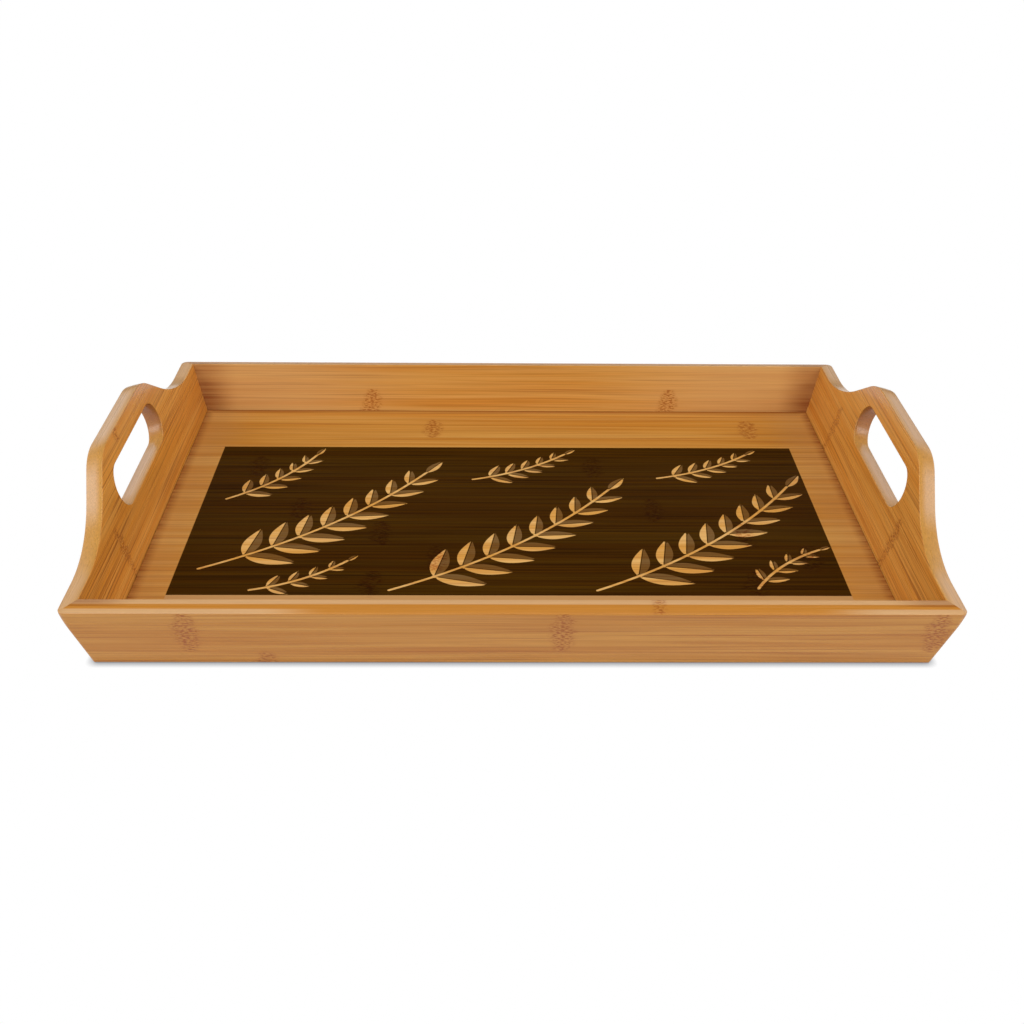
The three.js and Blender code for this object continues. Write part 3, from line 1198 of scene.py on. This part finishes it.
@dataclass(frozen=True)
class Sprig:
    """A bowed stem with pairs of leaves and one at its tip, in millimetres on the floor."""

    foot: Pair
    tip: Pair
    bow: float
    pairs: int
    leaf: float
    stem_half: float = 0.8
    rib_half: float = 0.3
    bare_share: float = 0.16
    spread: Pair = (0.85, 0.25)
    taper: float = 0.45
    second_leaf: float = 0.94
    plump: float = 0.17
    belly: float = 0.8
    outside: float = -9.0
    stem_points: int = 25
    look_ahead: float = 0.02

    def stem(self, share: np.ndarray) -> np.ndarray:
        """Points on the stem: the straight from foot to tip plus a sideways parabola of the bow.

        Args:
            share: shares of the way from foot to tip.

        Returns:
            Points by 2.
        """
        run = np.subtract(self.tip, self.foot)
        aside = np.array((-run[1], run[0])) / np.hypot(*run)
        bowed = 4 * self.bow * (share * (1 - share))[:, None] * aside
        return np.array(self.foot) + share[:, None] * run + bowed

    def draw(self, x: np.ndarray, y: np.ndarray) -> Line:
        """How far each place lies inside the sprig's light parts and its shaded parts.

        A leaf is a spindle: at a share along its rib its half width is a sine of the share. Its light
        half lies on one side of the rib and its shaded half on the other. The stem is a chain of short
        straights, and a place is as far from it as from the nearest of them.

        Args:
            x: places along the floor.
            y: places across it.

        Returns:
            Two arrays of distances, more than 0 inside.
        """
        points = self.stem(np.linspace(0, 1, self.stem_points))
        starts, runs = points[:-1], np.diff(points, axis=0)
        across, up = x[:, None] - starts[:, 0], y[:, None] - starts[:, 1]
        share = np.clip((across * runs[:, 0] + up * runs[:, 1]) / (runs**2).sum(axis=1), 0, 1)
        gaps = np.hypot(across - share * runs[:, 0], up - share * runs[:, 1])
        light = self.stem_half - gaps.min(axis=-1)
        shaded = np.full_like(x, self.outside)
        for index in range(2 * self.pairs + 1):
            second = index % 2 == 1
            place = self.bare_share + (1 - self.bare_share) * (index // 2) / self.pairs
            base, ahead = self.stem(np.array((place, place + self.look_ahead)))
            turn = math.atan2(*(ahead - base)[::-1])
            if index < 2 * self.pairs:
                turn += (self.spread[0] - self.spread[1] * place) * (1 if second else -1)
            length = self.leaf * (1 - self.taper * place) * (self.second_leaf if second else 1.0)
            c, s = math.cos(turn), math.sin(turn)
            u = ((x - base[0]) * c + (y - base[1]) * s) / length
            v = (y - base[1]) * c - (x - base[0]) * s
            on_rib = np.clip(u, 0, 1)
            half = self.plump * length * np.sin(math.pi * on_rib**self.belly)
            beyond = -np.hypot(v, (u - on_rib) * length)
            inside = np.where((u > 0) & (u < 1), half - np.abs(v), beyond)
            side = v if second else -v
            light = np.maximum(light, np.minimum(inside, side - self.rib_half))
            shaded = np.maximum(shaded, np.minimum(inside, -side - self.rib_half))
        return light, shaded


SPRIGS = (
    Sprig((-166, -64), (-50, 42), -10, 8, 33),
    Sprig((-64, -84), (58, 22), -10, 8, 33),
    Sprig((44, -84), (164, 26), -10, 8, 33),
    Sprig((-164, 10), (-118, 64), -5, 5, 20),
    Sprig((-22, 34), (34, 66), -4, 5, 19),
    Sprig((88, 36), (146, 66), -4, 5, 19),
    Sprig((-136, -84), (-88, -56), -4, 4, 16),
    Sprig((128, -82), (168, -44), 4, 4, 16),
)


@dataclass
class FloorPanel:
    """The three-ply floor that lies between the walls, with fine points where it is printed."""

    shape: TrayShape
    seam: float = 0.4 * MM
    printed_points: tuple[int, int] = (371, 243)
    plain_points: tuple[int, int] = (9, 7)

    def sheet(self, node: str, columns: int, rows: int) -> bpy.types.Object:
        """Makes one ply as a sheet whose edges lean with the walls.

        The top is a level grid. Its rim is carried down to the underside, drawn in by the walls' lean.

        Args:
            node: the CAD node that it stands for.
            columns: points along the top.
            rows: points across the top.

        Returns:
            The sheet's object.
        """
        low, high = (corner.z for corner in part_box(node))
        lower, upper = (self.shape.inner_reach(level) - self.seam for level in (low, high))
        across, along = np.meshgrid(np.linspace(-1, 1, rows), np.linspace(-1, 1, columns), indexing="ij")
        flat = np.stack((along * upper[0], across * upper[1], np.full_like(along, high)), axis=-1)
        flat = flat.reshape(-1, 3)
        index = np.arange(rows * columns).reshape(rows, columns)
        quads = np.stack((index[:-1, :-1], index[:-1, 1:], index[1:, 1:], index[1:, :-1]), axis=-1)
        rim = np.concatenate((index[0, :-1], index[:-1, -1], index[-1, :0:-1], index[:0:-1, 0]))
        under = np.column_stack((flat[rim, :2] * (lower / upper), np.full(len(rim), low)))
        below = rows * columns + np.arange(len(rim))
        skirt = np.stack((rim, below, np.roll(below, -1), np.roll(rim, -1)), axis=-1)
        faces = quads.reshape(-1, 4).tolist() + skirt.tolist() + [below[::-1].tolist()]
        mesh = bpy.data.meshes.new(node + "_sheet")
        mesh.from_pydata(np.concatenate((flat, under)), [], faces)
        return finished_object(node + "_sheet", mesh)

    def draw_sprigs(self, mesh: bpy.types.Mesh) -> None:
        """Stores on each point of the sheet how far it lies inside the printed sprigs.

        Args:
            mesh: the printed sheet's mesh.
        """
        place = np.zeros(3 * len(mesh.vertices))
        mesh.vertices.foreach_get("co", place)
        x, y, _ = place.reshape(-1, 3).T / MM
        drawn = [sprig.draw(x, y) for sprig in SPRIGS]
        for name, part in (("leaf_light", 0), ("leaf_shade", 1)):
            nearest = np.max([pair[part] for pair in drawn], axis=0).astype(np.float32)
            mesh.attributes.new(name, "FLOAT", "POINT").data.foreach_set("value", nearest)

    def build(self, face: bpy.types.Material, core: bpy.types.Material, back: bpy.types.Material) -> None:
        """Makes and dresses the three plies.

        Args:
            face: finish of the printed face.
            core: finish of the core.
            back: finish of the underside.
        """
        plies = (
            ("floor_face_ply", face, "printed_floor", self.printed_points),
            ("floor_core_ply", core, "raw_bamboo", self.plain_points),
            ("floor_back_ply", back, "bamboo_floor", self.plain_points),
        )
        for node, material, slot, points in plies:
            ply = self.sheet(node, *points)
            if node == "floor_face_ply":
                self.draw_sprigs(ply.data)
            ply.data.materials.append(material)
            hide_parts(node)
            LOG.info("%s: %d faces", ply.name, len(ply.data.polygons))


@dataclass(frozen=True)
class Viewpoint:
    """The camera's place and lens, from a fit of the tray's corners and outlines to the photograph."""

    azimuth: float = math.radians(-1.0452)
    elevation: float = math.radians(31.0014)
    roll: float = math.radians(0.6774)
    distance: float = 0.76917
    target: Triple = (0.0, 0.024102, -0.015425)
    focal_px: float = 1284.37
    centre_px: Pair = (509.455, 522.851)
    image_px: float = 1024.0
    sensor_mm: float = 36.0

    def build(self) -> None:
        """Places the camera: turned to the tray's middle, rolled, and shifted to the picture's centre."""
        level = math.cos(self.elevation)
        sine, cosine = math.sin(self.azimuth), math.cos(self.azimuth)
        back = Vector((sine * level, -cosine * level, math.sin(self.elevation)))
        right = (-back).cross(Vector(UP)).normalized()
        up = right.cross(-back)
        turned_right = math.cos(self.roll) * right + math.sin(self.roll) * up
        turned_up = math.cos(self.roll) * up - math.sin(self.roll) * right
        turned = Matrix((turned_right, turned_up, back)).transposed().to_4x4()
        lens = bpy.data.cameras.new("camera")
        lens.sensor_width = self.sensor_mm
        lens.lens = self.focal_px / self.image_px * self.sensor_mm
        lens.shift_x = 0.5 - self.centre_px[0] / self.image_px
        lens.shift_y = self.centre_px[1] / self.image_px - 0.5
        camera = bpy.data.objects.new("camera", lens)
        camera.matrix_world = Matrix.Translation(Vector(self.target) + back * self.distance) @ turned
        bpy.context.scene.collection.objects.link(camera)
        bpy.context.scene.camera = camera


@dataclass(frozen=True)
class Lamp:
    """A broad soft lamp that faces the tray: its place, its two sizes and its power in watts."""

    name: str
    place: Triple
    size: Pair
    watts: float

    def build(self) -> None:
        """Makes the lamp."""
        glow = bpy.data.lights.new(self.name, "AREA")
        glow.shape = "RECTANGLE"
        glow.size, glow.size_y = self.size
        glow.energy = self.watts
        lamp = bpy.data.objects.new(self.name, glow)
        lamp.location = self.place
        lamp.rotation_euler = Vector(self.place).to_track_quat("Z", "Y").to_euler()
        bpy.context.scene.collection.objects.link(lamp)


@dataclass(frozen=True)
class WhiteFloor:
    """A white floor just under the table's level, with the soft shade close under the tray."""

    reach: float = 4.0
    drop: float = 0.0002
    paint: float = 0.86
    roughness: float = 0.9
    shade: Colour = (0.13, 0.135, 0.155)
    shade_reach: float = 4 * MM
    shade_power: float = 1.1
    shade_samples: int = 16
    dim_from: Pair = (0.3, 0.8)

    def build(self, dim: float) -> None:
        """Makes the floor and leaves it out of the part.

        Args:
            dim: how bright its far end is where the tray's gloss shows it.
        """
        signs = ((-1, -1), (1, -1), (1, 1), (-1, 1))
        corners = [(x * self.reach, y * self.reach, -self.drop) for x, y in signs]
        mesh = bpy.data.meshes.new("white_floor")
        mesh.from_pydata(corners, [], [(0, 1, 2, 3)])
        mesh.materials.append(self.material(dim))
        ground = bpy.data.objects.new("white_floor", mesh)
        bpy.context.scene.collection.objects.link(ground)

    def material(self, dim: float) -> bpy.types.Material:
        """Paint that lights the tray as a plain white floor does, and looks white but for the shade.

        Args:
            dim: how bright its far end is where the tray's gloss shows it.

        Returns:
            The material.
        """
        made = bpy.data.materials.new("white_floor_paint")
        made.use_nodes = True
        nodes = made.node_tree.nodes
        wire = Wiring(made.node_tree)
        diffuse = nodes["Principled BSDF"]
        wire.put(diffuse.inputs["Base Color"], (self.paint, self.paint, self.paint))
        wire.put(diffuse.inputs["Roughness"], self.roughness)
        rays = wire.add("ShaderNodeLightPath").outputs
        seen = wire.math("MAXIMUM", rays["Is Camera Ray"], rays["Is Glossy Ray"])
        seen = wire.math("MAXIMUM", seen, rays["Is Transmission Ray"])
        close = wire.add("ShaderNodeAmbientOcclusion", samples=self.shade_samples)
        wire.put(close.inputs["Distance"], self.shade_reach)
        shade = wire.mix(wire.math("POWER", close.outputs["AO"], self.shade_power), self.shade, WHITE)
        _, away, _ = wire.split(wire.add("ShaderNodeTexCoord").outputs["Object"])
        far = wire.times(wire.step(away, *self.dim_from), rays["Is Glossy Ray"])
        white = wire.add("ShaderNodeEmission")
        wire.put(white.inputs["Color"], wire.mix(far, shade, (dim, dim, dim)))
        blend = wire.add("ShaderNodeMixShader")
        for socket, feed in zip(blend.inputs, (seen, diffuse.outputs[0], white.outputs[0])):
            wire.put(socket, feed)
        wire.put(nodes["Material Output"].inputs["Surface"], blend.outputs[0])
        return made


@dataclass(frozen=True)
class Studio:
    """A pale room, dimmer overhead, far off and round the camera, with its lamps, floor and camera."""

    view: Viewpoint = Viewpoint()
    floor: WhiteFloor = WhiteFloor()
    lamps: tuple[Lamp, ...] = (
        Lamp("overhead_lamp", (0.0, -0.25, 1.25), (1.3, 0.9), 6.0),
        Lamp("left_softbox", (-0.87, -0.79, 0.76), (0.7, 0.55), 3.5),
        Lamp("right_softbox", (0.87, -0.79, 0.76), (0.7, 0.55), 3.5),
    )
    room: float = 0.97
    ceiling: float = 0.08
    ceiling_tilt: float = 0.35
    ceiling_from: Pair = (0.64, 0.78)
    camera_side: float = 0.2
    camera_width: Pair = (0.4, 0.15)
    camera_depth: Pair = (0.0, -0.2)
    horizon: float = 0.2
    horizon_depth: Pair = (0.5, 0.85)
    horizon_height: Pair = (0.32, 0.1)

    def build(self) -> None:
        """Makes the camera, the room, the lamps and the floor."""
        bpy.context.scene.view_settings.view_transform = "Standard"
        self.view.build()
        self.walls()
        for lamp in self.lamps:
            lamp.build()
        self.floor.build(self.horizon)

    def walls(self) -> None:
        """Makes the room's glow by direction, and white for the camera.

        Seen from the tray, the room is dim over a slanted ceiling line, in a patch round the camera's side
        and low down at the far side.
        """
        world = bpy.data.worlds.new("white_room")
        world.use_nodes = True
        wire = Wiring(world.node_tree)
        aside, backward, sine = wire.split(wire.add("ShaderNodeTexCoord").outputs["Generated"])
        slanted = wire.math("MULTIPLY_ADD", backward, self.ceiling_tilt, sine)
        by_camera = wire.step(wire.apart(aside), *self.camera_width)
        by_camera = wire.times(by_camera, wire.step(backward, *self.camera_depth))
        far = wire.times(wire.step(backward, *self.horizon_depth), wire.step(sine, *self.horizon_height))
        glow = 3 * (self.room,)
        for share, level in (
            (by_camera, self.camera_side),
            (far, self.horizon),
            (wire.step(slanted, *self.ceiling_from), self.ceiling),
            (wire.add("ShaderNodeLightPath").outputs["Is Camera Ray"], 1.0),
        ):
            glow = wire.mix(share, glow, (level, level, level))
        wire.put(world.node_tree.nodes["Background"].inputs["Color"], glow)
        bpy.context.scene.world = world


LAY_UPS = {
    "front_rail": Strips(
        width=28.5, edge=-19.9, knuckles=(-119.0, 23.1), spacing=178.4, seed=3.0,
        shown_layer=0, layer_shift=44.9, sparse=(0,),
    ),
    "back_rail": Strips(width=22.0, edge=-1.0, knuckles=(-105.0, None), spacing=194.0, seed=11.0),
    "left_end_board": Strips(
        width=25.0, edge=-14.0, knuckles=(69.0, 69.0, None, 19.5), spacing=290.0, seed=23.0,
        knuckle_reach=(5.5, 2.2),
    ),
    "right_end_board": Strips(
        width=25.0, edge=-14.0, knuckles=(75.0, 75.0, None, None), spacing=134.0, seed=37.0,
        knuckle_reach=(5.5, 2.2),
    ),
}
FLOOR_STRIPS = Strips(
    width=25.6, edge=-142.6, spacing=201.5, seed=51.0, shown_layer=0,
    knuckles=(None, None, -74.0, -40.0, -72.0, -120.0, None, 50.5, None, -48.5, None),
)
# Shares of the pale sawn edge along the end boards' outline, in millimetres from the middle: partly the
# pale ply, partly a painted highlight.
EDGE_HIGHLIGHTS = (
    (0.0, 1.0), (24.0, 1.0), (34.0, 0.1), (44.0, 0.1), (55.0, 1.0), (70.0, 1.0), (82.0, 0.1), (106.0, 0.1),
)
FINISHES = {
    # The front rail's end_highlights paint the lamps' highlight on the outer part of its top edge near both
    # ends.
    "front_rail": BambooFinish(
        "lacquered_front_rail", pale=srgb(198, 140, 64), warm=srgb(182, 117, 42),
        knuckle=srgb(144, 62, 0), sawn_pale=srgb(217, 173, 124), streaks=0.65, lines=0.5, coat=0.1,
        gloss_tint=(1.0, 0.82, 0.6), end_highlights=(27.0, 113.0, 150.0),
    ),
    # The back rail's paler_ends paint a reflection that lightens it towards both ends.
    "back_rail": BambooFinish(
        "lacquered_back_rail", pale=srgb(215, 158, 81), warm=srgb(205, 137, 55), dark=srgb(171, 102, 41),
        streaks=0.6, gloss=0.2, gloss_tint=(1.0, 0.85, 0.6), coat=0.0, paler_ends=(40.0, 160.0, 0.4),
    ),
    "left_end_board": BambooFinish(
        "lacquered_left_end", pale=srgb(226, 158, 72), warm=srgb(214, 137, 48), dark=srgb(154, 84, 26),
        knuckle=srgb(146, 64, 8), sawn=srgb(203, 149, 73), sawn_pale=srgb(218, 179, 139),
        pale_band=(-8.4, -4.6), edge_highlights=(*EDGE_HIGHLIGHTS, (122.0, 0.3)),
        streaks=0.42, lines=0.85, fibres=0.25,
    ),
    "right_end_board": BambooFinish(
        "lacquered_right_end", pale=srgb(225, 157, 71), warm=srgb(213, 136, 47), dark=srgb(154, 84, 26),
        knuckle=srgb(146, 64, 8), sawn=srgb(198, 144, 68), sawn_pale=srgb(210, 170, 129),
        pale_band=(-8.4, -4.6), edge_highlights=(*EDGE_HIGHLIGHTS, (122.0, 0.7)),
        streaks=0.42, lines=0.72, fibres=0.25,
    ),
}
FLOOR_FINISH = BambooFinish(
    "printed_bamboo_floor", pale=srgb(213, 154, 76), warm=srgb(201, 132, 49), dark=srgb(170, 102, 44),
    streaks=0.6, lines=0.45, gloss=0.01, coat=0.0, paler_ends=(160.0, 188.0, 0.17),
)
RAW_FINISH = BambooFinish("raw_bamboo", coat=0.0, roughness=(0.6, 0.75))
UNDERSIDE_FINISH = BambooFinish("bamboo_underside")
# Half the rails' length and the reach of the painted shade at their ends, in millimetres.
RAIL_SHADE = (199.0, 24.0)
# Half the floor's length and width and the reach of the painted shade along its edges, in millimetres.
FLOOR_SHADE = ((197.0, 127.0), 7.0)


def main() -> None:
    """Builds the tray's walls, its floor, the splines' finish and the studio, in order."""
    logging.basicConfig(level=logging.INFO, format="%(message)s")
    shape = TrayShape()
    walls = (
        (Rail(shape, Side.FRONT, "front_rail"), "bamboo_rail"),
        (Rail(shape, Side.BACK, "back_rail"), "bamboo_rail"),
        (EndBoard(shape, Side.LEFT, "left_end_board"), "bamboo_end_board"),
        (EndBoard(shape, Side.RIGHT, "right_end_board"), "bamboo_end_board"),
    )
    for wall, slot in walls:
        base = Vector(wall.side.outward * wall.base_distance)
        wood = FINISHES[wall.name].material(LAY_UPS[wall.name], wall.frame(), base)
        if slot == "bamboo_rail":
            # Painted shade on the rails' inner faces towards the corners.
            wood.paint_end_shade(*RAIL_SHADE)
        wall.dress(wall.build(), wood.done(), slot)
    printed, raw, underside = (
        finish.material(FLOOR_STRIPS, Matrix.Identity(3), Vector())
        for finish in (FLOOR_FINISH, RAW_FINISH, UNDERSIDE_FINISH)
    )
    # Painted shade on the floor along the walls, with the dark joint line.
    printed.paint_edge_shade(*FLOOR_SHADE)
    PrintInk().over(printed)
    core = raw.done()
    FloorPanel(shape).build(printed.done(), core, underside.done())
    for name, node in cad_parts.items():
        if name.startswith("corner_spline"):
            node.material_slots[0].material = core
    Studio().build()


if __name__ == "__main__":
    main()
